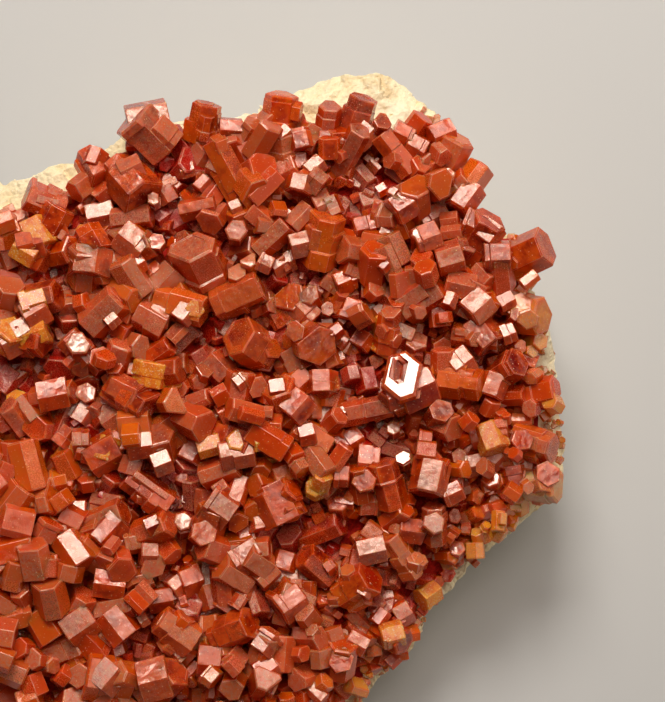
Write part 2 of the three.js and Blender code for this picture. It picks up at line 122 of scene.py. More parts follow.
# Large crystals: x, y, width across the flats, length, lean, direction of the lean, turn.
LARGE = {
    "red": [
        (-10.5, 42.4, 5.6, 6.8, 62, 138, 28), (-2.8, 44.2, 4.4, 5.6, 62, 76, 20),
        (1.0, 36.6, 3.8, 10.0, 78, 118, 30), (-13.2, 35.2, 4.8, 7.0, 72, -50, 0),
        (-26.0, 32.8, 4.4, 5.6, 66, 160, 0), (-25.6, 27.6, 4.4, 9.6, 78, 60, 10),
        (-19.4, 23.6, 4.6, 5.0, 50, 80, 10), (-3.6, 24.0, 6.4, 5.2, 36, 118, 0),
        (18.4, 39.8, 3.3, 8.0, 46, 58, 0), (25.0, 39.8, 3.3, 7.0, 76, 130, 10),
        (2.8, 29.2, 3.2, 5.6, 36, 108, 5), (28.9, 26.4, 3.7, 6.6, 17, 100, 14),
        (37.2, 27.8, 4.7, 6.2, 46, 55, 10), (44.0, 25.2, 5.0, 6.8, 56, 20, 0),
        (35.9, 18.6, 3.5, 5.4, 68, 60, 14), (28.9, 18.4, 4.8, 6.4, 70, 28, 10),
        (2.4, 18.6, 4.1, 7.4, 78, 22, 12), (12.8, 12.2, 5.4, 5.4, 28, -50, 0),
        (3.9, 12.0, 4.8, 5.5, 42, 150, 0), (26.2, 6.2, 6.2, 6.6, 15.5, 102, 6),
        (-12.6, 4.6, 5.0, 7.0, 70, -35, 10), (-28.4, 13.0, 4.8, 7.5, 70, -15, 15),
        (-20.6, 11.4, 3.6, 5.0, 76, 135, 12), (1.8, -2.2, 4.8, 6.4, 66, -20, 0),
        (8.6, -10.4, 4.4, 6.0, 62, 40, 20), (-10.6, -8.8, 4.0, 7.4, 76, 145, 12),
        (-8.8, -2.6, 3.8, 5.6, 34, 98, 10), (24.0, -8.0, 3.9, 7.0, 70, 105, 0),
        (36.6, 13.0, 3.3, 6.6, 80, -10, 6), (30.2, -5.8, 3.7, 5.0, 72, -12, 6),
        (10.4, -24.0, 3.8, 5.2, 72, 155, 14), (-38.5, -3.0, 4.8, 6.6, 48, 160, 0),
        (-35.5, -22.5, 5.0, 7.5, 66, 30, 10), (-40.5, 12.5, 4.6, 6.0, 58, 100, 0),
        (-14.5, -43.5, 4.8, 6.4, 52, 250, 0), (3.5, -43.0, 4.6, 6.5, 60, 80, 15),
    ],
    "orange": [
        (-18.6, 37.6, 4.2, 5.4, 70, -60, 0), (8.2, 45.8, 4.2, 5.5, 62, 80, 10),
        (19.6, 45.6, 4.3, 5.2, 58, 70, 20), (8.8, 39.6, 3.5, 6.0, 50, 96, 30),
        (14.8, 27.2, 4.8, 6.6, 55, 75, 5), (32.8, 40.2, 4.0, 5.2, 56, 60, 0),
        (-5.8, 17.2, 3.8, 7.4, 80, -16, 10), (12.8, -1.2, 3.3, 5.8, 74, 148, 8),
        (-26.8, -10.4, 5.0, 6.5, 72, 8, 20), (25.8, -18.0, 3.5, 7.2, 64, 125, 10),
        (19.4, -22.6, 4.6, 5.6, 60, 30, 0), (5.8, -32.4, 3.5, 7.6, 62, 72, 30),
        (-6.6, -28.8, 4.4, 6.0, 72, 145, 12), (-24.0, -32.0, 4.4, 8.4, 76, 22, 12),
        (-18.4, -18.0, 4.2, 6.4, 74, 148, 10), (34.4, 6.4, 4.8, 6.0, 74, -10, 4),
        (-16.0, -35.4, 4.8, 7.0, 74, 170, 10), (45.6, -2.2, 4.4, 5.2, 62, -20, 10),
    ],
    "amber": [(45.0, 16.4, 4.8, 3.6, 50, -15, 0), (23.8, 13.6, 3.2, 6.0, 60, 80, 0)],
    "pale": [(46.6, -8.2, 4.2, 5.0, 56, -10, 12)],
}

# The larger crystals of the crust, in the same way.
CRUST_LARGE = [
    (-13.0, 30.0, 3.0, 5.6, 80, 5, 10), (-12.4, 25.4, 3.3, 5.4, 70, 20, 0),
    (3.6, 39.2, 2.8, 8.0, 80, 118, 0), (-3.4, 31.6, 3.0, 5.0, 78, 10, 0),
    (15.2, 44.4, 3.4, 5.0, 45, 80, 10), (27.6, 43.2, 3.2, 5.0, 60, 50, 0),
    (12.6, 34.4, 3.0, 5.0, 40, 80, 0), (7.4, 27.0, 3.3, 5.6, 72, 40, 5),
    (22.0, 23.2, 4.4, 5.0, 40, 80, 10), (25.6, 32.0, 3.6, 5.0, 30, 70, 0),
    (33.4, 34.6, 3.6, 5.5, 60, 40, 0), (40.0, 22.4, 4.0, 5.4, 50, 100, 0),
    (32.8, 23.6, 3.3, 5.0, 40, 90, 5), (41.0, 8.4, 4.2, 4.6, 40, 30, 0),
    (46.0, 5.4, 4.2, 5.0, 60, 10, 0), (38.6, -0.8, 3.0, 5.0, 76, 10, 0),
    (31.6, 0.6, 3.6, 5.0, 50, -30, 10), (19.8, -8.0, 3.0, 5.0, 60, 100, 0),
    (14.6, -6.8, 3.0, 5.0, 64, 85, 10), (20.4, 2.4, 3.2, 8.0, 80, 10, 5),
    (14.8, 5.4, 3.2, 4.6, 25, 60, 0), (8.8, 3.6, 4.0, 6.0, 40, 110, 0),
    (2.2, 5.0, 3.8, 6.0, 70, 80, 0), (-9.4, 10.6, 3.4, 5.2, 66, 30, 0),
    (-16.6, 16.4, 4.8, 6.4, 66, 40, 14), (-24.2, 4.6, 3.5, 6.0, 74, 10, 5),
    (-26.2, 18.2, 4.2, 6.0, 70, 10, 5), (-17.6, -3.6, 3.3, 6.4, 78, 170, 5),
    (-16.4, -13.0, 3.6, 5.4, 70, 20, 0), (-9.6, -14.4, 4.2, 5.6, 60, 20, 0),
    (-1.6, -13.6, 4.2, 5.6, 56, 70, 0), (0.2, -22.4, 3.1, 5.8, 72, 95, 0),
    (-14.8, -25.4, 3.4, 6.2, 78, 10, 0), (1.6, -28.6, 4.2, 6.0, 62, 20, 10),
    (-8.6, -36.4, 5.0, 6.4, 60, 40, 0), (3.8, -17.4, 3.2, 6.2, 80, 5, 0),
    (17.0, -32.8, 4.0, 5.4, 52, 80, 0), (24.4, -29.4, 3.8, 5.0, 54, -30, 0),
    (30.6, -13.6, 3.3, 5.6, 60, 95, 0), (13.6, -19.6, 3.8, 5.4, 56, 140, 0),
    (-20.6, -25.8, 4.0, 5.6, 60, 60, 0), (-30.5, -38.0, 4.4, 6.0, 60, 220, 0),
    (-42.5, -14.0, 4.4, 6.0, 60, 190, 0), (12.0, -41.0, 4.0, 6.0, 60, -60, 0),
    (-35.6, 4.6, 4.6, 6.4, 66, 60, 0), (-33.0, -15.6, 4.4, 6.2, 62, 100, 0),
    (-23.4, -41.0, 4.6, 6.0, 58, 20, 0), (-43.0, 2.4, 4.2, 5.6, 60, 150, 0),
]

# Crystals of the crust with a face that sends the key light to the camera: x, y, width.
BRIGHT = [
    (-13.2, 37.2, 3.0), (-18.5, 39.0, 2.4), (-5.2, 37.5, 1.8), (-3.0, 35.3, 1.8), (1.9, 31.4, 1.9),
    (-20.4, 32.0, 1.3), (-22.9, 27.3, 1.4), (-12.6, 23.6, 2.6), (-10.0, 22.8, 2.0), (20.1, 42.4, 2.8),
    (8.7, 41.9, 2.4), (29.2, 27.6, 3.2), (22.9, 34.6, 1.5), (24.6, 33.4, 1.3), (23.0, 30.1, 1.8),
    (27.2, 35.5, 1.2), (38.4, 28.0, 2.8), (9.3, 30.2, 1.9), (18.0, 24.0, 1.0), (23.2, 22.7, 1.3),
    (27.6, 6.2, 4.2), (25.0, 4.8, 3.0), (16.3, 13.6, 1.7), (17.3, 12.2, 1.3), (16.8, 10.2, 1.8),
    (17.0, 2.2, 1.6), (26.0, -4.3, 2.2), (38.8, -7.2, 2.6), (8.0, 5.7, 2.6), (41.0, 14.0, 2.2),
    (32.4, 18.0, 1.6), (40.8, 18.6, 2.0), (-11.5, -2.2, 3.0), (-0.8, 2.1, 1.8), (-8.5, -4.6, 2.8),
    (-20.8, -11.3, 2.8), (-9.8, -13.5, 2.2), (2.9, -22.9, 2.2), (5.9, -30.0, 3.0), (6.2, -33.6, 3.0),
    (15.5, -19.7, 1.6), (20.3, -22.7, 1.8), (22.7, -26.7, 1.8), (-11.2, -27.0, 1.6), (-29.6, 13.4, 4.0),
    (-26.8, 16.8, 3.4), (-15.5, 15.0, 1.6), (-5.2, 16.6, 2.6), (-12.5, 8.2, 2.0), (12.2, -0.6, 2.6),
    (2.6, 6.6, 1.8), (4.8, 12.6, 1.6), (-27.4, 26.4, 3.0), (24.6, -33.0, 1.6), (-16.6, -34.6, 4.0),
]

# Crystals of the crust with a face that shows the large soft light as a satin glaze: x, y, width.
SATIN = [
    (-9.0, 46.8, 3.4), (-10.6, 44.2, 4.4), (-17.8, 31.2, 3.0), (-9.8, 32.4, 1.9), (-7.6, 33.8, 2.0),
    (-19.0, 26.4, 2.8), (-19.2, 23.6, 3.8), (-12.4, 26.6, 3.0), (-9.2, 26.2, 2.2), (2.2, 27.6, 2.9),
    (1.4, 43.0, 2.3), (23.2, 43.8, 2.6), (26.4, 42.6, 2.3), (28.4, 41.0, 2.4), (31.8, 43.0, 2.6),
    (11.2, 41.0, 2.0), (11.3, 38.2, 2.2), (13.2, 37.5, 2.1), (15.0, 40.8, 1.5), (11.0, 34.6, 2.6),
    (14.0, 35.4, 2.4), (14.3, 32.5, 2.7), (15.9, 31.4, 2.2), (11.2, 26.6, 2.7), (20.6, 29.2, 2.8),
    (23.9, 28.0, 2.5), (25.8, 32.0, 3.2), (30.5, 31.0, 2.7), (32.2, 36.2, 2.5), (35.0, 33.6, 3.0),
    (36.5, 29.6, 3.0), (26.4, 21.2, 3.0), (17.7, 21.4, 2.3), (6.5, 23.6, 2.0), (8.6, 23.8, 2.3),
    (32.6, 24.0, 3.0), (34.5, 21.2, 2.8), (39.5, 24.8, 2.8), (36.2, 18.0, 3.2), (37.0, 13.6, 3.2),
    (34.0, 9.8, 3.2), (42.4, 16.2, 1.8), (44.5, 10.0, 1.8), (39.0, 6.2, 2.8), (14.3, 6.5, 3.0),
    (14.6, 2.3, 2.5), (18.5, 17.0, 2.8), (12.6, 17.2, 2.7), (15.2, 17.0, 1.7), (19.8, 13.0, 2.4),
    (28.0, 12.4, 2.9), (31.4, 2.2, 3.2), (18.2, -1.4, 3.0), (21.2, -3.9, 2.6), (24.6, 0.0, 1.9),
    (17.2, -6.6, 2.3), (20.4, -7.6, 3.2), (29.6, -6.8, 3.4), (32.8, -8.8, 2.2), (34.2, -4.0, 2.3),
    (36.2, -4.6, 2.4), (39.0, -4.2, 2.1), (43.2, -1.6, 3.0), (42.3, -7.0, 2.4), (47.0, -6.6, 3.2),
    (-1.0, 8.4, 2.8), (-4.4, -2.8, 2.8), (-17.0, 9.6, 3.0), (-15.3, 8.6, 2.3), (-20.4, 11.6, 3.0),
    (-19.5, 5.0, 2.8), (-20.3, 2.3, 2.3), (-6.3, 3.3, 1.7), (-24.2, 5.4, 3.2), (-23.0, -1.0, 2.4),
    (-20.0, -1.8, 2.1), (-26.5, -4.0, 1.8), (-17.0, -3.8, 3.4), (-16.3, -14.2, 3.4), (-15.6, -21.4, 3.0),
    (-10.0, -17.4, 2.4), (-4.4, -21.0, 3.0), (-8.8, -24.0, 2.4), (-20.2, -27.6, 3.6), (-14.2, -27.6, 3.2),
    (-1.6, -32.4, 3.4), (9.8, -24.2, 3.4), (17.2, -33.0, 3.4), (26.0, -26.0, 2.6), (21.4, -16.8, 2.7),
    (27.6, -14.0, 2.7), (30.4, -13.6, 3.0), (34.0, -17.0, 2.2), (-24.6, -26.2, 3.0), (-9.8, -34.4, 4.2),
    (-28.0, -16.4, 2.9), (-31.0, -13.4, 3.2), (-5.4, -13.4, 2.9), (-2.2, -15.0, 3.2), (0.2, -11.2, 3.4),
    (8.3, -10.8, 4.0), (3.4, -17.8, 3.0), (9.0, -18.8, 2.6), (2.2, -3.2, 3.2), (10.4, 3.4, 3.0),
]

# Crystals with a rough, golden skin that glitters: x, y, width.
GLITTER = [
    (23.6, 14.6, 2.6), (24.0, 12.0, 3.0), (14.6, -6.6, 3.0), (13.4, -8.6, 2.6), (-9.6, 7.0, 3.4),
    (-8.0, 6.2, 2.0), (38.2, -1.2, 3.0), (5.6, -1.6, 2.0), (7.2, -3.6, 2.2), (2.4, -1.9, 3.2),
    (-10.6, 20.2, 2.6), (-13.0, 19.0, 2.4), (-3.6, 16.4, 2.4), (-26.6, 27.6, 3.2), (-27.6, 25.6, 2.6),
    (-29.4, 13.6, 4.0), (-26.6, 12.2, 2.6), (-29.8, 4.4, 2.6), (-26.8, 18.0, 3.0), (-22.4, -3.2, 2.6),
    (-16.6, -3.0, 2.4), (-1.8, -2.4, 2.2), (-20.4, 28.2, 2.0), (30.2, -23.0, 2.2), (24.6, -29.2, 2.4),
]

# Hollows of the crust, where the crystals are painted darkest as shade: x, y, radius.
SHADED_HOLLOWS = [
    (-7.6, 30.6, 3.6), (-9.0, 38.0, 3.0), (20.6, 35.2, 4.0), (14.6, 38.2, 1.8), (-29.6, 8.4, 3.4),
    (-22.0, 10.6, 3.0), (-18.0, 12.8, 1.8), (7.6, 13.6, 3.0), (19.6, 8.0, 3.6), (12.0, 23.0, 3.4),
    (-0.6, 26.6, 2.4), (-1.6, 14.4, 3.0), (-3.4, 12.0, 3.0), (-19.6, 0.6, 2.8), (-7.0, -7.4, 3.2),
    (13.6, -15.6, 4.0), (26.0, -24.0, 4.6), (31.0, -11.0, 2.6), (22.0, -1.6, 2.2), (-21.6, 29.0, 2.4),
    (-24.6, 21.6, 2.4), (7.6, 22.4, 2.6), (-14.4, -9.0, 2.6), (-6.4, -11.0, 2.6), (4.0, -26.4, 2.8),
    (-12.0, -31.0, 3.0), (35.6, 24.6, 2.0), (38.6, 10.4, 2.4), (-5.0, -25.0, 2.4), (9.8, -15.2, 2.4),
    (26.6, 12.0, 2.2),
]


# ---------------------------------------------------------------- settings


class SpecimenSettings(bpy.types.PropertyGroup):
    """Sizes and the growth seed of the specimen that a user would change."""

    seed: IntProperty(name="Growth seed", description="Picks where the small crystals grow", default=7, min=0)
    medium_spacing: FloatProperty(
        name="Crystal spacing", description="Distance between the crust's larger crystals",
        default=3.5 * MM, min=1.5 * MM, unit="LENGTH",
    )
    small_spacing: FloatProperty(
        name="Small crystal spacing", description="Distance between the crust's smallest crystals",
        default=2.0 * MM, min=0.8 * MM, unit="LENGTH",
    )
    rock_grain: FloatProperty(
        name="Rock resolution", description="Size of the facets that the rock's broken skin is made of",
        default=0.55 * MM, min=0.2 * MM, unit="LENGTH",
    )


def tone(name, description, default):
    """A colour that a user would change."""
    return FloatVectorProperty(
        name=name, description=description, default=default, subtype="COLOR", min=0, max=1,
    )


class CrystalColours(bpy.types.PropertyGroup):
    """Colours of the crystals and the rock."""

    deep: tone("Deep red", "Colour in the thick of a red crystal", (0.22, 0.003, 0.0001))
    # Painted shade: the colour of crystals in the hollows and low in the crust, and of the skin between them.
    shade: tone("Shade", "Colour of crystals deep in the hollows", (0.48, 0.008, 0.0002))
    glow: tone("Orange glow", "Colour where light comes through a crystal", (0.66, 0.058, 0.001))
    amber: tone("Amber", "Colour of the yellow-brown crystals", (0.90, 0.31, 0.02))
    # Painted glow: the colour of a crystal's body near the edges of its faces.
    rim: tone("Edge glow", "Colour of a crystal's body near the edges of its faces", (0.80, 0.10, 0.002))
    # Frost is partly real dust and wear, partly a painted sheen on faces that look up and a painted highlight
    # along worn edges.
    frost_and_sheen: tone("Frost", "Colour of worn edges and of dust on the crystals", (0.54, 0.25, 0.145))
    rock: tone("Rock", "Main colour of the rock", (0.88, 0.70, 0.38))


# ---------------------------------------------------------------- where things stand


def tree_of(node):
    """A search tree of one CAD node's faces."""
    mesh = bpy.data.objects[node].data
    points = [v.co.copy() for v in mesh.vertices]
    return BVHTree.FromPolygons(points, [tuple(p.vertices) for p in mesh.polygons])


TREES = {n: tree_of(n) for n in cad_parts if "_crystal" in n}
ROCK_TREE = tree_of("matrix_rock")
CRUST_TREE = tree_of("small_crystal_crust")
DOWN = Vector((0, 0, -1))


def over(tree, x, y):
    """The highest point of a tree's faces under a place on the crystal face, in mm, or None."""
    start = Vector(((x + FACE_ORIGIN.x) * MM, (y + FACE_ORIGIN.y) * MM, 0.2))
    hit = tree.ray_cast(start, DOWN)[0]
    return hit.z / MM if hit else None


def open_height(x, y, radius):
    """How high the CAD crystals reach around a place, in mm, within limits over the crust's tips."""
    base = over(ROCK_TREE, x, y)
    if base is None:
        return None
    high = base + CRUST_TOP + LEAST_TOP
    for k in range(7):
        spread = radius if k else 0.0
        px, py = x + spread * math.cos(k * math.pi / 3), y + spread * math.sin(k * math.pi / 3)
        for tree in TREES.values():
            top = over(tree, px, py)
            if top is not None:
                high = max(high, top)
    return min(high, base + CRUST_TOP + MOST_TOP)


def zone_of(rng, x, y):
    """Crystals turn from red to amber at the right-hand edge of the crust."""
    if x > 12 and y < 20 and over(CRUST_TREE, x + 1.4, y - 1.4) is None and rng.random() < 0.6:
        return "edge"
    if x > 12 and over(CRUST_TREE, x + 4.5, y - 3.0) is None and rng.random() < 0.8:
        return "rim"
    return rng.choice(["core", "clear", "rim"], p=[0.6, 0.28, 0.12])


def fineness(x, y):
    """How much smaller the crystals grow towards the right-hand edge, 0 to 1."""
    return min(1.0, max(0.0, (x - 0.35 * y - 20) / 16))


def hollow_shade(x, y):
    """How deep in a hollow a place is, which sets the painted shade on its crystals: 1 in the middle, 0 at
    1.35 radii and ever further below 0 outside.
    """
    return max(min(1.0, 1.6 - 1.6 * math.hypot(x - hx, y - hy) / (1.35 * r)) for hx, hy, r in SHADED_HOLLOWS)


def turned(lean, towards, turn):
    """The rotation of a crystal that leans from upright, in degrees."""
    swing = Euler((0, 0, math.radians(towards))).to_matrix()
    tilt = Euler((0, math.radians(lean), 0)).to_matrix()
    spin = Euler((0, 0, math.radians(turn))).to_matrix()
    return swing @ tilt @ spin


def placed(x, y, z, rotation):
    """A crystal's place in millimetres, in the specimen's frame."""
    return Matrix.Translation((x + FACE_ORIGIN.x, y + FACE_ORIGIN.y, z)) @ rotation.to_4x4()


# ---------------------------------------------------------------- crystal shapes


def corners_of(out):
    """Corners of a six-sided section whose faces stand 60 degrees apart, each at its own distance."""
    corners = []
    for k in range(6):
        before, after = out[k], out[(k + 1) % 6]
        along = (after - 0.5 * before) / math.sin(math.radians(60))
        cos, sin = math.cos(math.radians(60 * k)), math.sin(math.radians(60 * k))
        corners.append(Vector((before * cos - along * sin, before * sin + along * cos)))
    return corners


def crystal_rings(across, length, rng, stacked, taper, uneven):
    """Rings of a prism from end to end, in mm. A stacked prism steps in and out along its length."""
    out = across / 2 * (1 + uneven * rng.uniform(-1, 1, 6))
    slant = across / math.sqrt(3) * SLANT * rng.uniform(0.2, 0.9)
    half = length / 2
    breaks = sorted(rng.uniform(-0.6, 0.75, stacked) * half)
    rings = [(-half, corners_of(out - slant)), (-half + 0.7 * slant, corners_of(out))]
    for z in breaks:
        step = across * rng.uniform(0.02, 0.09, 6) * (rng.random(6) < 0.6) * rng.choice([-1, 1])
        rings.append((z - LEDGE * across, corners_of(out)))
        out = out - step
        rings.append((z + LEDGE * across, corners_of(out)))
    rings += [(half - 0.7 * slant, corners_of(out)), (half, corners_of(out - slant))]
    return [[(*(corner * (1 - taper * (0.5 + z / length))), z) for corner in ring] for z, ring in rings]


def crystal_shape(across, length, rng, edge=0.045, stacked=0, steps=0, taper=0.0, uneven=0.12, pit=None):
    """One six-sided prism in mm, as points, faces and a mark on each face that is a worn edge."""
    bm = bmesh.new()
    outline = crystal_rings(across, length, rng, stacked, taper, uneven)
    rings = [[bm.verts.new(point) for point in ring] for ring in outline]
    for low, high in zip(rings, rings[1:]):
        for k in range(6):
            bm.faces.new((low[k], low[(k + 1) % 6], high[(k + 1) % 6], high[k]))
    bm.faces.new(rings[0][::-1])
    cap = bm.faces.new(rings[-1])
    bm.normal_update()
    if pit is not None:
        sink_pit(bm, cap, across, pit)
    for _ in range(steps):
        raise_step(bm, cap, across, rng)
    marked = bm.faces.layers.float.new("worn")
    sharp = [e for e in bm.edges if len(e.link_faces) == 2 and e.calc_face_angle() > SHARP]
    if edge:
        worn = bmesh.ops.bevel(
            bm, geom=sharp, offset=edge, segments=1, profile=0.5, affect="EDGES", material=-1,
            clamp_overlap=True,
        )
        for face in worn["faces"]:
            face[marked] = 1.0
    bm.verts.index_update()
    bm.normal_update()
    normals = np.array([f.normal for f in bm.faces])
    points = np.array([v.co for v in bm.verts])
    corner = across / math.sqrt(3)
    inner = points / (corner, corner, length / 2)
    faces = [[v.index for v in f.verts] for f in bm.faces]
    marks = np.array([f[marked] for f in bm.faces])
    bm.free()
    return {"points": points, "inner": inner, "faces": faces, "normals": normals, "worn": marks}


def raise_step(bm, cap, across, rng):
    """A growth step on an end face, off its middle."""
    width = across * rng.uniform(0.08, 0.16)
    bmesh.ops.inset_region(bm, faces=[cap], thickness=width, depth=0)
    angle = rng.uniform(0, 2 * math.pi)
    shift = Vector((math.cos(angle), math.sin(angle), 0)) * width * 0.8
    for vert in cap.verts:
        vert.co += shift
    rise = across * rng.uniform(0.015, 0.04) * (1 if rng.random() < 0.6 else -1)
    bmesh.ops.inset_region(bm, faces=[cap], thickness=across * LEDGE, depth=rise)


def sink_pit(bm, cap, across, pit):
    """A deep hollow in an end face, set towards one side of it, with a slanting floor."""
    bmesh.ops.inset_region(bm, faces=[cap], thickness=across * PIT_RIM, depth=0)
    way = Vector((math.cos(pit), math.sin(pit), 0))
    for vert in cap.verts:
        vert.co += way * across * PIT_SHIFT
    bmesh.ops.inset_region(bm, faces=[cap], thickness=across * PIT_WALL, depth=-across * PIT_STEPS[0])
    middle = cap.calc_center_median()
    for vert in cap.verts:
        vert.co.z += PIT_SLOPE * (vert.co - middle).dot(way)
    bmesh.ops.inset_region(bm, faces=[cap], thickness=across * PIT_LEDGE, depth=0)
    bmesh.ops.inset_region(bm, faces=[cap], thickness=across * PIT_WALL, depth=-across * PIT_STEPS[1])


def points_of(mesh):
    """The points of a mesh, one to a row."""
    points = np.empty(len(mesh.vertices) * 3)
    mesh.vertices.foreach_get("co", points)
    return points.reshape(-1, 3)


def lay(mesh, name, kind, domain, values):
    """Gives a mesh an attribute of numbers or of vectors."""
    layer = mesh.attributes.new(name, kind, domain)
    layer.data.foreach_set("value" if kind == "FLOAT" else "vector", values.astype(np.float32).ravel())


def mesh_of(bm, name):
    """A mesh of what was built, which is then let go."""
    mesh = bpy.data.meshes.new(name)
    bm.to_mesh(mesh)
    bm.free()
    return mesh


def shown(name, data):
    """A new object in the scene."""
    made = bpy.data.objects.new(name, data)
    bpy.context.scene.collection.objects.link(made)
    return made


class Heap:
    """Crystals that are gathered up to be one mesh."""

    def __init__(self, rng):
        self.rng = rng
        self.points, self.own, self.loops, self.sizes = [], [], [], []
        self.inner, self.worn, self.tint, self.gloss, self.dust = [], [], [], [], []
        self.count = 0

    def add(self, shape, place, tint, gloss=None, scale=(1, 1, 1)):
        """Adds a shape at a place. Gloss is how polished its faces are, 0 to 1."""
        local = shape["points"] * np.array(scale)
        matrix = np.array(place)
        self.points.append((local @ matrix[:3, :3].T + matrix[:3, 3]) * MM)
        shift = self.rng.uniform(-PATTERN_SPREAD, PATTERN_SPREAD, 3)
        shift[2] = 0.0
        self.own.append(local + shift)
        for face in shape["faces"]:
            self.loops.extend(i + self.count for i in face)
            self.inner.append(shape["inner"][face])
            self.sizes.append(len(face))
        faces = len(shape["faces"])
        self.count += len(local)
        self.worn.append(shape["worn"])
        self.tint.append(tint + self.rng.normal(0, 0.22, faces))
        # Dust and painted sheen: faces that look up get a lighter colour, more on some crystals than on
        # others.
        upward = (shape["normals"] @ matrix[:3, :3].T)[:, 2]
        dust_and_sheen_amount = np.clip(0.4 + 0.025 * shift[0], 0, 1)
        self.dust.append(np.clip((upward - 0.4) / 0.5, 0, 1) * dust_and_sheen_amount)
        polish = self.rng.uniform(0, 1, faces) if gloss is None else np.full(faces, gloss)
        self.gloss.append(polish)

    def piece(self, name, material, slot, *nodes):
        """Makes the mesh a piece that stands for CAD nodes."""
        return finish_piece(self.mesh(name), name, material, nodes)

    def mesh(self, name):
        """Makes one mesh of all that was gathered."""
        mesh = bpy.data.meshes.new(name)
        points = np.concatenate(self.points)
        sizes = np.array(self.sizes)
        starts = np.concatenate([[0], np.cumsum(sizes)[:-1]])
        mesh.vertices.add(len(points))
        mesh.vertices.foreach_set("co", points.astype(np.float32).ravel())
        mesh.loops.add(len(self.loops))
        mesh.loops.foreach_set("vertex_index", np.array(self.loops, np.int32))
        mesh.polygons.add(len(sizes))
        mesh.polygons.foreach_set("loop_start", starts.astype(np.int32))
        mesh.update(calc_edges=True)
        lay(mesh, "own", "FLOAT_VECTOR", "POINT", np.concatenate(self.own))
        lay(mesh, "inner", "FLOAT_VECTOR", "CORNER", np.concatenate(self.inner))
        for label in ("worn", "tint", "gloss", "dust"):
            lay(mesh, label, "FLOAT", "FACE", np.concatenate(getattr(self, label)))
        mesh.shade_flat()
        mesh.validate()
        return mesh


def finish_piece(mesh, name, material, nodes):
    """Puts a mesh in the scene as a piece that stands for CAD nodes."""
    piece = shown(name, mesh)
    mesh.materials.clear()
    mesh.materials.append(material)
    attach(piece, ROOT)
    if nodes:
        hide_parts(*nodes)
    return piece


# ---------------------------------------------------------------- finishes


class Wiring:
    """Short calls to wire a material's nodes."""

    def __init__(self, name):
        self.material = bpy.data.materials.new(name)
        self.material.use_nodes = True
        self.tree = self.material.node_tree
        self.surface = self.tree.nodes["Principled BSDF"]

    def node(self, kind, **settings):
        made = self.tree.nodes.new(kind)
        for key, value in settings.items():
            setattr(made, key, value)
        return made

    def link(self, source, target):
        self.tree.links.new(source, target)

    def feed(self, socket, value):
        if hasattr(value, "is_output"):
            self.link(value, socket)
        else:
            socket.default_value = value

    def dress(self, sockets):
        """Sets or links the sockets of the material's shader."""
        for key, value in sockets.items():
            self.feed(self.surface.inputs[key], value)

    def attribute(self, name, vector=False):
        made = self.node("ShaderNodeAttribute", attribute_name=name)
        return made.outputs["Vector" if vector else "Fac"]

    def math(self, operation, a, b=0.0, clamp=False):
        made = self.node("ShaderNodeMath", operation=operation, use_clamp=clamp)
        for socket, value in zip(made.inputs, (a, b)):
            self.feed(socket, value)
        return made.outputs[0]

    def plus(self, a, b, clamp=False):
        return self.math("ADD", a, b, clamp)

    def times(self, a, b):
        return self.math("MULTIPLY", a, b)

    def mix(self, share, a, b):
        made = self.node("ShaderNodeMix", data_type="RGBA")
        self.feed(made.inputs[0], share)
        for socket, value in ((made.inputs[6], a), (made.inputs[7], b)):
            self.feed(socket, value if hasattr(value, "is_output") else (*value, 1.0))
        return made.outputs[2]

    def ramp(self, value, low, high, start=0.0, end=1.0):
        made = self.node("ShaderNodeMapRange", clamp=True)
        for socket, number in zip(made.inputs, (value, low, high, start, end)):
            self.feed(socket, number)
        return made.outputs[0]

    def pattern(self, kind, vector, numbers):
        made = self.node(kind)
        self.link(vector, made.inputs["Vector"])
        for key, value in numbers.items():
            made.inputs[key].default_value = value
        return made.outputs

    def noise(self, vector, scale, detail=2.0, rough=0.5, distort=0.0):
        numbers = {"Scale": scale, "Detail": detail, "Roughness": rough, "Distortion": distort}
        return self.pattern("ShaderNodeTexNoise", vector, numbers)["Fac"]

    def cells(self, vector, scale, output="Distance"):
        return self.pattern("ShaderNodeTexVoronoi", vector, {"Scale": scale})[output]

    def stretched(self, vector, scale):
        return self.pattern("ShaderNodeMapping", vector, {"Scale": scale})["Vector"]

    def near_edge(self):
        """How near a point is to the edges of its crystal's faces, 0 to 1."""
        split = self.node("ShaderNodeSeparateXYZ")
        self.link(self.attribute("inner", vector=True), split.inputs[0])
        x, y, z = split.outputs
        out = self.math("SQRT", self.plus(self.times(x, x), self.times(y, y)))
        end = self.times(self.ramp(self.math("ABSOLUTE", z), 0.62, 1.0), self.ramp(out, 0.5, 0.82))
        return self.math("MAXIMUM", end, self.ramp(out, 0.89, 1.0))

    def bump(self, height, depth, normal=None):
        made = self.node("ShaderNodeBump")
        self.link(height, made.inputs["Height"])
        made.inputs["Strength"].default_value = 1.0
        made.inputs["Distance"].default_value = depth * MM
        if normal:
            self.link(normal, made.inputs["Normal"])
        return made.outputs[0]


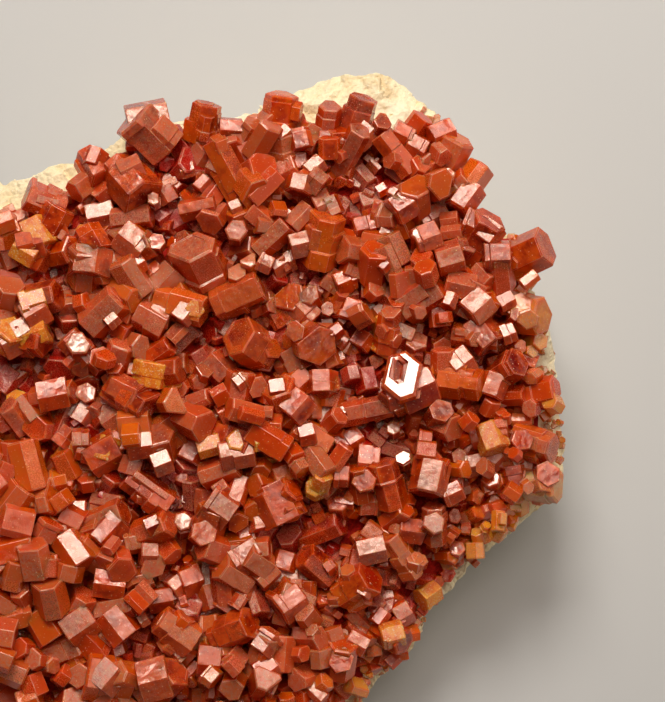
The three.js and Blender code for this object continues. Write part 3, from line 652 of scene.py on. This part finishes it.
def crystal_finish(name, body, glow, colours, clear=0.15):
    """Resinous, translucent crystal with worn edges, cloudy zones, fine growth lines and specks, with painted
    glow at the feet and edges, painted shade in the hollows, dust with a painted sheen on faces that look up,
    and some painted sparkle.
    """
    w = Wiring(name)
    own = w.attribute("own", vector=True)
    tint, worn, gloss = w.attribute("tint"), w.attribute("worn"), w.attribute("gloss")
    cloud = w.noise(own, 0.6, 4.0, 0.65, 0.4)
    streak = w.noise(w.stretched(own, (1.2, 1.2, 7.0)), 1.3, 3.0, 0.6)
    along = w.node("ShaderNodeSeparateXYZ")
    w.link(own, along.inputs[0])
    # Painted glow: the body turns towards the glow colour near each crystal's foot.
    foot = w.ramp(along.outputs[2], 2.5, -2.5, -0.15, 0.30)
    share = w.plus(w.times(w.ramp(cloud, 0.40, 0.60), 0.65), w.times(tint, 0.6))
    colour = w.mix(w.plus(share, foot, clamp=True), body, glow)
    # Painted glow along the edges of the faces.
    painted_edge_glow = w.times(w.near_edge(), w.ramp(cloud, 0.35, 0.6, 0.15, 0.8))
    colour = w.mix(painted_edge_glow, colour, colours.rim)
    # Painted shade: where the tone falls below nought, the crystal turns towards the shade colour.
    colour = w.mix(w.ramp(tint, 0.0, -1.0), colour, colours.shade)
    # Dust and painted sheen: faces that look up turn towards the frost colour in patches.
    dust_and_sheen_mask = w.times(w.attribute("dust"), w.ramp(w.noise(own, 2.6, 5.0, 0.8), 0.38, 0.62, 0.1, 0.85))
    colour = w.mix(dust_and_sheen_mask, colour, colours.frost_and_sheen)
    # Worn edges painted pale: partly wear, partly a painted highlight along the edges.
    colour = w.mix(w.times(worn, w.ramp(cloud, 0.4, 0.6, 0.1, 0.7)), colour, colours.frost_and_sheen)
    # Specks and painted sparkle: small bright spots in a few patches of each crystal.
    sparse = w.ramp(w.noise(own, 0.9, 3.0, 0.7), 0.38, 0.60)
    chosen = w.ramp(w.cells(own, 3.0, "Color"), 0.60, 0.78)
    lit = w.times(w.ramp(w.cells(own, 3.0), 0.32, 0.16), w.times(chosen, sparse))
    skin = w.noise(own, 5.0, 3.0, 0.7)
    rough = w.plus(w.ramp(gloss, 0.0, 1.0, 0.30, 0.04), w.ramp(skin, 0.4, 0.75, -0.02, 0.08))
    swell = w.bump(w.times(w.noise(own, 0.45, 2.0, 0.5), w.ramp(gloss, 0.4, 0.9, 1.0, 0.0)), 0.35)
    height = w.plus(w.times(streak, 0.7), w.times(skin, 0.12))
    w.dress({
        "Base Color": w.mix(lit, colour, SPECK_AND_SPARKLE),
        "Roughness": w.plus(rough, w.times(worn, 0.1), clamp=True),
        "IOR": 1.85,
        "Specular Tint": (1.0, 0.84, 0.73, 1.0),
        "Subsurface Weight": 0.55,
        "Subsurface Radius": (1.0, 0.16, 0.03),
        "Subsurface Scale": 2.2 * MM,
        "Transmission Weight": clear,
        "Normal": w.bump(height, 0.06, swell),
    })


def skin_finish(colours):
    """Dark, dull crust between the small crystals; its dark colour is partly the crust's own deep red and
    partly painted shade in the gaps.
    """
    w = Wiring("Deep crust")
    own = w.attribute("own", vector=True)
    grain = w.noise(own, 1.4, 4.0, 0.7)
    w.dress({
        "Base Color": w.mix(w.ramp(grain, 0.4, 0.7), colours.shade, colours.deep),
        "Roughness": 0.75,
        "IOR": 1.3,
        "Normal": w.bump(grain, 0.5),
    })


def glitter_finish():
    """Golden crystal whose skin is broken into tiny facets that glitter, with pale gold spots painted on as
    sparkle.
    """
    w = Wiring("Glittering crystal")
    own = w.attribute("own", vector=True)
    facet = w.cells(own, 4.5, "Color")
    broad = w.noise(own, 0.9, 3.0, 0.6)
    colour = w.mix(w.ramp(broad, 0.4, 0.6), (0.85, 0.16, 0.006), (0.97, 0.33, 0.02))
    height = w.plus(w.ramp(facet, 0.0, 1.0), w.noise(own, 6.0, 2.0, 0.6))
    w.dress({
        # Painted sparkle: pale gold spots in the base colour.
        "Base Color": w.mix(w.ramp(w.noise(own, 4.0, 2.0, 0.6), 0.58, 0.70), colour, (1.0, 0.80, 0.38)),
        "Roughness": 0.22,
        "IOR": 1.7,
        "Subsurface Weight": 0.6,
        "Subsurface Radius": (1.0, 0.45, 0.12),
        "Subsurface Scale": 1.2 * MM,
        "Transmission Weight": 0.2,
        "Normal": w.bump(height, 0.045),
    })


def rock_finish(colours):
    """Pale, earthy rock with yellow-brown stains and a sparkling grain."""
    w = Wiring("Cream rock")
    place = w.node("ShaderNodeTexCoord").outputs["Object"]
    broad = w.noise(place, 70.0, 5.0, 0.6)
    fine = w.noise(place, 420.0, 6.0, 0.7)
    grain = w.cells(place, 1500.0)
    stain = w.noise(place, 130.0, 4.0, 0.65, 0.6)
    colour = w.mix(w.ramp(broad, 0.35, 0.65), colours.rock, (0.95, 0.85, 0.60))
    colour = w.mix(w.ramp(stain, 0.56, 0.74, 0.0, 0.75), colour, (0.52, 0.30, 0.10))
    colour = w.mix(w.ramp(fine, 0.58, 0.75, 0.0, 0.5), colour, (0.42, 0.30, 0.16))
    height = w.plus(w.times(fine, 0.7), w.times(grain, -0.35))
    w.dress({
        "Base Color": w.mix(w.ramp(grain, 0.22, 0.06, 0.0, 0.5), colour, (0.95, 0.90, 0.78)),
        "Roughness": w.ramp(grain, 0.05, 0.5, 0.45, 0.9),
        "Normal": w.bump(height, 0.5),
    })


def finishes():
    """All finishes, made once."""
    made = bpy.data.materials
    if "Red crystal" not in made:
        c = bpy.context.scene.crystal_colours
        crystal_finish("Red crystal", c.deep, c.glow, c)
        crystal_finish("Clear red crystal", (0.32, 0.008, 0.0003), (0.74, 0.10, 0.002), c, 0.3)
        crystal_finish("Orange crystal", (0.40, 0.016, 0.0005), (0.78, 0.13, 0.003), c)
        crystal_finish("Amber crystal", (0.70, 0.15, 0.006), c.amber, c)
        crystal_finish("Pale crystal", (0.75, 0.26, 0.06), (0.85, 0.54, 0.28), c)
        skin_finish(c)
        glitter_finish()
        rock_finish(c)
    return made


# ---------------------------------------------------------------- building the pieces


def owner_of(tip):
    """The CAD node whose surface is nearest to a point in metres."""
    names = [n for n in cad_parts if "_crystal" in n and n != "small_crystal_crust"]
    return min(names, key=lambda n: TREES[n].find_nearest(tip)[3])


def large_crystals():
    """Each large crystal with its place and the CAD node that holds it."""
    held = {}
    for finish, rows in LARGE.items():
        for row in rows:
            x, y, across, length, lean, towards, turn = row
            z = over(ROCK_TREE, x, y) + CRUST_TOP + CENTRE_LIFT * across
            place = placed(x, y, z, turned(lean, towards, turn))
            tip = place @ Vector((0, 0, length / 2))
            held.setdefault(owner_of(tip * MM), []).append((finish, across, length, lean, place))
    return held


class SPECIMEN_OT_large_crystals(bpy.types.Operator):
    """Builds the large crystals, each in place of its solid"""

    bl_idname = "specimen.large_crystals"
    bl_label = "Large crystals"

    def execute(self, context):
        rng = np.random.default_rng(context.scene.specimen.seed)
        held = large_crystals()
        missing = [n for n in TREES if n != "small_crystal_crust" and n not in held]
        if missing:
            raise RuntimeError(f"no crystal stands for {missing}")
        drafts = []
        for node, members in sorted(held.items()):
            parts = []
            for finish, across, length, lean, place in members:
                root = ROOTS[0] if lean < 60 else ROOTS[1]
                upright = lean < UPRIGHT
                pit = PIT_TOWARDS if across > 6 and upright else None
                shape = crystal_shape(
                    across, length + root, rng, stacked=rng.integers(1, 4),
                    steps=int(rng.random() < 0.3 and pit is None), taper=rng.uniform(-0.03, 0.08),
                    uneven=0.14, pit=pit,
                )
                lowered = place @ Matrix.Translation((0, 0, -root / 2))
                parts.append(self.grown(rng, shape, lowered, 0.95 if upright else None))
                parts += self.companions(rng, across, length, lowered)
            drafts.append((node, members[0], parts, self.draft_of(parts)))
        graph = context.evaluated_depsgraph_get()
        for node, (finish, across, *_, place), parts, draft in drafts:
            mesh = bpy.data.meshes.new_from_object(draft.evaluated_get(graph))
            if not mesh.polygons:
                raise RuntimeError(f"the crystals of {node} did not join")
            mesh.name = f"{node}_faces"
            self.lay_grain(mesh, place, rng)
            looks = f"{finish.capitalize()} crystal"
            if finish == "red" and rng.random() < 0.35:
                looks = "Clear red crystal"
            if finish == "amber" and across < 4:
                looks = "Glittering crystal"
            finish_piece(mesh, f"{node}_faces", finishes()[looks], [node])
        for *_, parts, draft in drafts:
            for part in parts:
                bpy.data.objects.remove(part)
        return {"FINISHED"}

    def grown(self, rng, shape, place, gloss=None):
        """One crystal as an object of its own."""
        heap = Heap(rng)
        heap.add(shape, place, rng.uniform(0.1, 1.0), gloss)
        return shown("draft", heap.mesh("draft"))

    def companions(self, rng, across, length, place):
        """Lesser prisms that step out of a large one's sides, some along it and some across it."""
        made = []
        for _ in range(rng.integers(2, 5)):
            size = across * rng.uniform(0.4, 0.75)
            angle = rng.uniform(0, 2 * math.pi)
            out = Vector((math.cos(angle), math.sin(angle), 0))
            if rng.random() < 0.5:
                reach = (across - size) * 0.5 + across * rng.uniform(0.03, 0.16)
                shift = out * reach + Vector((0, 0, length * rng.uniform(-0.3, 0.1)))
                wander = Euler(np.radians(rng.normal(0, 4, 3))).to_matrix().to_4x4()
                span = length * rng.uniform(0.4, 0.9)
            else:
                reach = out * across * rng.uniform(0.15, 0.35)
                shift = reach + Vector((0, 0, length * rng.uniform(-0.35, 0.15)))
                fall = turned(rng.uniform(35, 100), 0, rng.uniform(0, 60))
                wander = (Euler((0, 0, angle)).to_matrix() @ fall).to_4x4()
                span = across * rng.uniform(0.8, 1.1)
            shape = crystal_shape(size, span, rng, edge=0.04, stacked=rng.integers(0, 2))
            made.append(self.grown(rng, shape, place @ Matrix.Translation(shift) @ wander))
        return made

    def draft_of(self, parts):
        """The first crystal of a group, with the others joined to it."""
        for part in parts[1:]:
            join = parts[0].modifiers.new("Grown together", "BOOLEAN")
            join.operation = "UNION"
            join.solver = "MANIFOLD"
            join.object = part
        return parts[0]

    def lay_grain(self, mesh, place, rng):
        """Gives every point its place along the main crystal, for the patterns inside it."""
        back = np.array(place.inverted())
        shift = rng.uniform(-PATTERN_SPREAD, PATTERN_SPREAD, 3) * (1, 1, 0)
        own = points_of(mesh) / MM @ back[:3, :3].T + back[:3, 3] + shift
        mesh.attributes["own"].data.foreach_set("vector", own.astype(np.float32).ravel())


def scattered(rng, spacing, taken, clear):
    """Places over the crust on a shaken grid, clear of the crystals already there."""
    low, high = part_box("small_crystal_crust")
    found = []
    y = low.y / MM
    row = 0
    while y < high.y / MM:
        x = low.x / MM + (0.5 * spacing if row % 2 else 0)
        while x < high.x / MM:
            px, py = x + rng.uniform(-SHAKE, SHAKE) * spacing, y + rng.uniform(-SHAKE, SHAKE) * spacing
            fx, fy = px - FACE_ORIGIN.x, py - FACE_ORIGIN.y
            if over(CRUST_TREE, fx, fy + RIM_MARGIN) is not None and all(
                math.hypot(fx - tx, fy - ty) > clear * tr for tx, ty, tr in near(taken, fx, fy)
            ):
                found.append((fx, fy))
            x += spacing
        y += spacing * ROW_STEP
        row += 1
    return found


def near(taken, x, y):
    """Crystals within reach of a place."""
    return [t for t in taken if abs(t[0] - x) < REACH and abs(t[1] - y) < REACH]


def half_way(light):
    """The direction of a face that sends light to the camera."""
    back = Vector((0, -math.cos(math.radians(VIEW_LIFT)), math.sin(math.radians(VIEW_LIFT))))
    return (back + Vector(light).normalized()).normalized()


class SPECIMEN_OT_crust(bpy.types.Operator):
    """Builds the crust: its skin and the crystals that stand out of it"""

    bl_idname = "specimen.crust"
    bl_label = "Crystal crust"

    def execute(self, context):
        rng = np.random.default_rng(context.scene.specimen.seed + 1)
        noise.seed_set(NOISE_SEED)
        crust = "small_crystal_crust"
        made = finishes()
        self.skin(made["Deep crust"], crust)
        shapes = self.templates(rng)
        taken = [(r[0], r[1], r[2] * 0.5) for rows in LARGE.values() for r in rows]

        heap = Heap(rng)
        for x, y, across, length, lean, towards, turn in CRUST_LARGE:
            z = over(ROCK_TREE, x, y) + CRUST_TOP + CENTRE_LIFT * across
            shape = crystal_shape(
                across, length + 0.4, rng, stacked=rng.integers(0, 3), steps=int(rng.random() < 0.3),
                taper=rng.uniform(-0.03, 0.08),
            )
            # Painted shade: crystals of the crust in a hollow get a darker tone.
            tint = rng.uniform(-0.1, 0.8) - 0.7 * hollow_shade(x, y)
            heap.add(shape, placed(x, y, z, turned(lean, towards, turn)), tint)
            taken.append((x, y, across * 0.5))
        for x, y, across in BRIGHT:
            self.facing(heap, rng, x, y, 0.9 * across, half_way(KEY_FROM), 2.5, 0.95, 0.1)
        for x, y, across in SATIN:
            self.facing(heap, rng, x, y, across, half_way(CANOPY_FROM), 8, 0.5)
        heap.piece("crust_standing_crystals", made["Red crystal"], "crust", crust)

        heap = Heap(rng)
        for x, y, across in GLITTER:
            self.facing(heap, rng, x, y, across, half_way(CANOPY_FROM), 16, 0.8)
        heap.piece("crust_glittering_crystals", made["Glittering crystal"], "crust", crust)
        taken += [(x, y, across * 0.5) for x, y, across in BRIGHT + SATIN + GLITTER]

        finish_of = {
            "core": "Red crystal", "clear": "Clear red crystal",
            "rim": "Orange crystal", "edge": "Amber crystal",
        }
        heaps = {zone: Heap(rng) for zone in finish_of}
        for x, y in scattered(rng, context.scene.specimen.medium_spacing / MM, taken, 1.15):
            fine = fineness(x, y)
            if rng.random() < 0.35 * fine:
                continue
            across = rng.uniform(2.7, 4.3) * (1 - 0.38 * fine)
            deep = hollow_shade(x, y)
            # Far from every hollow this is too high, and the crystal stands clear of the rock.
            height = rng.uniform(1.6, 4.2) - 1.2 * deep
            self.grow(heaps[zone_of(rng, x, y)], rng, shapes["medium"], x, y, across, height, deep)
            taken.append((x, y, across * 0.4))
        for zone, heap in heaps.items():
            heap.piece(f"crust_medium_{zone}_crystals", made[finish_of[zone]], "crust", crust)

        heaps = {zone: Heap(rng) for zone in finish_of}
        for x, y in scattered(rng, context.scene.specimen.small_spacing / MM, taken, 0.6):
            across, height, deep = rng.uniform(1.2, 2.5), rng.uniform(1.2, 3.2), hollow_shade(x, y)
            self.grow(heaps[zone_of(rng, x, y)], rng, shapes["small"], x, y, across, height, deep)
        for zone, heap in heaps.items():
            heap.piece(f"crust_small_{zone}_crystals", made[finish_of[zone]], "crust", crust)
        for colour in ("Pale", "Amber"):
            self.crumbs(rng, made[f"{colour} crystal"], shapes["small"], crust)
        return {"FINISHED"}

    def crumbs(self, rng, material, shapes, node):
        """Tiny crystals on the bare rock round the right-hand and lower edge."""
        heap = Heap(rng)
        low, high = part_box("matrix_rock")
        for _ in range(CRUMB_TRIES):
            x = rng.uniform(low.x, high.x) / MM - FACE_ORIGIN.x
            y = rng.uniform(low.y, high.y) / MM - FACE_ORIGIN.y
            if x - 0.4 * y < 10 or over(CRUST_TREE, x - 0.6, y + 0.6) is not None:
                continue
            base = over(ROCK_TREE, x, y)
            if base is None or base < 9:
                continue
            size = rng.uniform(0.4, 1.2)
            place = placed(x, y, base + 0.2 * size, turned(rng.uniform(0, 90), rng.uniform(0, 360), 0))
            scale = (size, size, size * rng.uniform(0.7, 1.2))
            heap.add(shapes[rng.integers(len(shapes))], place, rng.uniform(-0.2, 0.9), None, scale)
        heap.piece(f"crust_edge_crumbs_{material.name.split()[0].lower()}", material, "crust", node)

    def templates(self, rng):
        """Prisms of unit width for the crystals that are too many to shape one by one."""
        medium, small = [], []
        for length in (0.6, 0.8, 0.95, 1.15, 1.5):
            for stacked in (0, 0, 1):
                taper = rng.uniform(-0.02, 0.08)
                medium.append(crystal_shape(
                    1.0, length, rng, edge=0.016, stacked=stacked, taper=taper, uneven=0.2,
                ))
            small.append(crystal_shape(1.0, length, rng, edge=0, taper=0.04, uneven=0.2))
        return {"medium": medium, "small": small}

    def facing(self, heap, rng, x, y, width, normal, spread, gloss, ends=0.25):
        """A crystal with a face that looks along a direction. Ends is how often it is an end face."""
        wander = Euler(np.radians(rng.normal(0, spread, 3))).to_matrix()
        way = wander @ normal
        rotation = way.to_track_quat("Z", "Y").to_matrix() @ turned(0, 0, rng.uniform(0, 60))
        on_side = rng.random() > ends
        if on_side:
            rotation = rotation @ turned(90, 0, 0)
        across = width * (1.4 if on_side else 1.0)
        length = width * rng.uniform(1.0, 1.6)
        top = open_height(x, y, 0.5 * width)
        if top is None:
            return
        shape = crystal_shape(across, length, rng, stacked=rng.integers(0, 2), uneven=0.08)
        centre = Vector((x, y, top + 0.4)) - way * (across if on_side else length) / 2
        heap.add(shape, placed(*centre, rotation), rng.uniform(0.1, 0.8), gloss)

    def grow(self, heap, rng, shapes, x, y, across, height, deep):
        """One small crystal or two at a random lean, near the directions of their neighbours."""
        base = over(ROCK_TREE, x, y)
        if base is None:
            return
        field = noise.noise_vector(Vector((x, y, 3.0)) * 0.07)
        towards = math.degrees(math.atan2(field.y, field.x)) * 2 + rng.normal(0, 55)
        lean = 90 - 72 * rng.random() ** 1.7
        z = base + height - 0.1 * across
        place = placed(x, y, z, turned(lean, towards, rng.uniform(0, 60)))
        # Painted shade: crystals that stand low in the crust or lie in a hollow get a darker tone.
        sunk = min(1.0, max(0.0, (3.0 - height) / 1.8))
        tint = rng.uniform(0, 0.9) - 0.9 * sunk - 0.8 * deep
        for k in range(1 + (rng.random() < 0.45)):
            shape = shapes[rng.integers(len(shapes))]
            size = across * (1 if k == 0 else rng.uniform(0.6, 0.9))
            scale = (size * rng.uniform(0.8, 1.0), size, size * rng.uniform(0.9, 1.25))
            heap.add(shape, place, tint + rng.uniform(-0.1, 0.1), 0.1 if sunk + deep > 0.5 else None, scale)
            angle = rng.uniform(0, 2 * math.pi)
            shift = Vector((math.cos(angle), math.sin(angle), rng.uniform(-0.4, 0.2))) * across * 0.75
            place = place @ Matrix.Translation(shift)

    def skin(self, material, node):
        """The knobbly skin under the crust's crystals."""
        bm = bmesh.new()
        low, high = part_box(node)
        half = max(high.x - low.x, high.y - low.y) / 2 + MM
        bmesh.ops.create_grid(bm, x_segments=100, y_segments=100, size=half)
        middle = (low + high) / 2
        for vert in bm.verts:
            vert.co += Vector((middle.x, middle.y, 0))
        outside = []
        for vert in bm.verts:
            x, y = vert.co.x / MM - FACE_ORIGIN.x, vert.co.y / MM - FACE_ORIGIN.y
            rock, crust = over(ROCK_TREE, x, y), over(CRUST_TREE, x, y)
            if rock is None or crust is None:
                outside.append(vert)
            else:
                vert.co.z = (rock + SKIN_TOP + SKIN_KNOBS * noise.noise(Vector((x, y, 0)) * 0.6)) * MM
        bmesh.ops.delete(bm, geom=outside, context="VERTS")
        bmesh.ops.recalc_face_normals(bm, faces=bm.faces)
        if sum(f.normal.z for f in bm.faces) < 0:
            bmesh.ops.reverse_faces(bm, faces=bm.faces)
        bmesh.ops.solidify(bm, geom=bm.faces[:], thickness=SKIN_DEPTH * MM)
        mesh = mesh_of(bm, "crust_skin")
        lay(mesh, "own", "FLOAT_VECTOR", "POINT", points_of(mesh).astype(np.float32) / MM)
        finish_piece(mesh, "crust_skin", material, [node])


class SPECIMEN_OT_rock(bpy.types.Operator):
    """Builds the rock with its broken faces"""

    bl_idname = "specimen.rock"
    bl_label = "Rock"

    def execute(self, context):
        node = "matrix_rock"
        rng = np.random.default_rng(context.scene.specimen.seed + 2)
        noise.seed_set(NOISE_SEED)
        source = bpy.data.objects[node].data.copy()
        bm = bmesh.new()
        bm.from_mesh(source)
        bmesh.ops.remove_doubles(bm, verts=bm.verts, dist=1e-6)
        bm.to_mesh(source)
        bm.free()
        draft = shown("rock_draft", source)
        remesh = draft.modifiers.new("Even grain", "REMESH")
        remesh.mode = "VOXEL"
        remesh.voxel_size = context.scene.specimen.rock_grain
        graph = context.evaluated_depsgraph_get()
        mesh = bpy.data.meshes.new_from_object(draft.evaluated_get(graph))
        bpy.data.objects.remove(draft)
        mesh.name = "rock_broken_faces"
        self.break_faces(mesh, rng)
        finish_piece(mesh, "rock_broken_faces", finishes()["Cream rock"], [node])
        return {"FINISHED"}

    def break_faces(self, mesh, rng):
        """Breaks the skin into flat fracture faces, then roughens it."""
        points = points_of(mesh)
        count = len(points)
        normals = np.array([v.normal for v in mesh.vertices])
        seeds = rng.choice(count, FRACTURES, replace=False)
        tree = kdtree.KDTree(len(seeds))
        for k, i in enumerate(seeds):
            tree.insert(points[i], k)
        tree.balance()
        planes = normals[seeds] + rng.normal(0, 0.16, (len(seeds), 3))
        planes /= np.linalg.norm(planes, axis=1)[:, None]
        for i in range(count):
            p, n = points[i], normals[i]
            hold = min(1.0, max(0.0, (p[2] - 0.3 * MM) / (2.5 * MM)))
            here = Vector(p) / MM
            _, k, _ = tree.find(Vector(p) + noise.noise_vector(here * 0.35) * 0.9 * MM)
            flat = planes[k] * np.dot(points[seeds[k]] - p, planes[k]) * 0.75
            limit = 1.1 * MM / max(np.linalg.norm(flat), 1.1 * MM)
            lumps = noise.fractal(here * 0.45, 0.9, 2.1, 5) * 0.45
            rough = lumps + noise.fractal(here * 2.2, 0.8, 2.1, 3) * 0.14
            points[i] = p + (flat * limit + n * rough * MM) * hold
        mesh.vertices.foreach_set("co", points.ravel())
        mesh.update()


class SPECIMEN_OT_stage(bpy.types.Operator):
    """Builds the floor, the lights, the room and the camera"""

    bl_idname = "specimen.stage"
    bl_label = "Stage"

    def execute(self, context):
        self.floor()
        aim = self.aim()
        for name, lamp in LAMPS.items():
            self.softbox(name, aim, *lamp)
        context.scene.world = self.room()
        context.scene.view_settings.view_transform = "Standard"
        context.scene.camera = self.camera(aim)
        return {"FINISHED"}

    def floor(self):
        """A pale floor that stays pale in the distance."""
        bm = bmesh.new()
        bmesh.ops.create_grid(bm, x_segments=1, y_segments=1, size=FLOOR_HALF)
        mesh = mesh_of(bm, "floor")
        floor = shown("floor", mesh)
        w = Wiring("Pale floor")
        away = w.node("ShaderNodeVectorMath", operation="LENGTH")
        w.link(w.node("ShaderNodeTexCoord").outputs["Object"], away.inputs[0])
        lit = w.ramp(away.outputs["Value"], *FLOOR_FADE, 0.0, FLOOR_GLOW)
        seen = w.node("ShaderNodeLightPath").outputs["Is Camera Ray"]
        w.dress({
            "Base Color": FLOOR_COLOUR,
            "Roughness": 0.8,
            "Emission Strength": w.times(lit, seen),
            "Emission Color": PAPER,
        })
        mesh.materials.append(w.material)

    def room(self):
        """A room that is bright to look at and lights the specimen only faintly."""
        world = bpy.data.worlds.new("studio")
        world.use_nodes = True
        wires = world.node_tree
        walls = wires.nodes["Background"]
        walls.inputs["Color"].default_value = PAPER
        seen = wires.nodes.new("ShaderNodeLightPath").outputs["Is Camera Ray"]
        strength = wires.nodes.new("ShaderNodeMapRange")
        wires.links.new(seen, strength.inputs["Value"])
        strength.inputs["To Min"].default_value = ROOM_LIGHT
        strength.inputs["To Max"].default_value = ROOM_SEEN
        wires.links.new(strength.outputs[0], walls.inputs["Strength"])
        return world

    def camera(self, aim):
        """The camera, which looks down at the crystal face."""
        camera = shown("camera", bpy.data.cameras.new("camera"))
        camera.data.lens = LENS
        camera.data.sensor_width = SENSOR
        camera.data.clip_start = 0.01
        lift = math.radians(VIEW_LIFT)
        back = Vector((0, -math.cos(lift), math.sin(lift)))
        camera.location = aim + back * VIEW_DISTANCE * MM
        camera.rotation_mode = "QUATERNION"
        camera.rotation_quaternion = (-back).to_track_quat("-Z", "Y")
        return camera

    def aim(self):
        """The point that the camera and the lamps look at."""
        x, y = VIEW_CENTRE
        z = over(ROCK_TREE, x, y) + CRUST_TOP + 1.5
        return Vector((x + FACE_ORIGIN.x, y + FACE_ORIGIN.y, z)) * MM

    def softbox(self, name, aim, direction, distance, size, radiance, colour):
        """A soft rectangular light with an even brightness."""
        light = bpy.data.lights.new(name, "AREA")
        light.shape = "RECTANGLE"
        light.size, light.size_y = size
        light.energy = radiance * math.pi * size[0] * size[1]
        light.color = colour
        lamp = shown(name, light)
        way = Vector(direction).normalized()
        lamp.location = aim + way * distance
        lamp.rotation_mode = "QUATERNION"
        lamp.rotation_quaternion = way.to_track_quat("Z", "Y")
        lamp.visible_camera = False


class SPECIMEN_PT_panel(bpy.types.Panel):
    """Lists the steps that build the specimen"""

    bl_label = "Vanadinite Specimen"
    bl_space_type = "VIEW_3D"
    bl_region_type = "UI"
    bl_category = "Specimen"

    def draw(self, context):
        scene = context.scene
        for group in (scene.specimen, scene.crystal_colours):
            for key in group.bl_rna.properties.keys():
                if key not in {"rna_type", "name"}:
                    self.layout.prop(group, key)
        for step in STEPS:
            self.layout.operator(step.bl_idname)


STEPS = (SPECIMEN_OT_rock, SPECIMEN_OT_crust, SPECIMEN_OT_large_crystals, SPECIMEN_OT_stage)
CLASSES = (SpecimenSettings, CrystalColours, *STEPS, SPECIMEN_PT_panel)


def register():
    for cls in CLASSES:
        bpy.utils.register_class(cls)
    bpy.types.Scene.specimen = PointerProperty(type=SpecimenSettings)
    bpy.types.Scene.crystal_colours = PointerProperty(type=CrystalColours)


def unregister():
    del bpy.types.Scene.crystal_colours
    del bpy.types.Scene.specimen
    for cls in reversed(CLASSES):
        bpy.utils.unregister_class(cls)


def main():
    register()
    for step in STEPS:
        group, name = step.bl_idname.split(".")
        getattr(getattr(bpy.ops, group), name)()


if __name__ == "__main__":
    main()
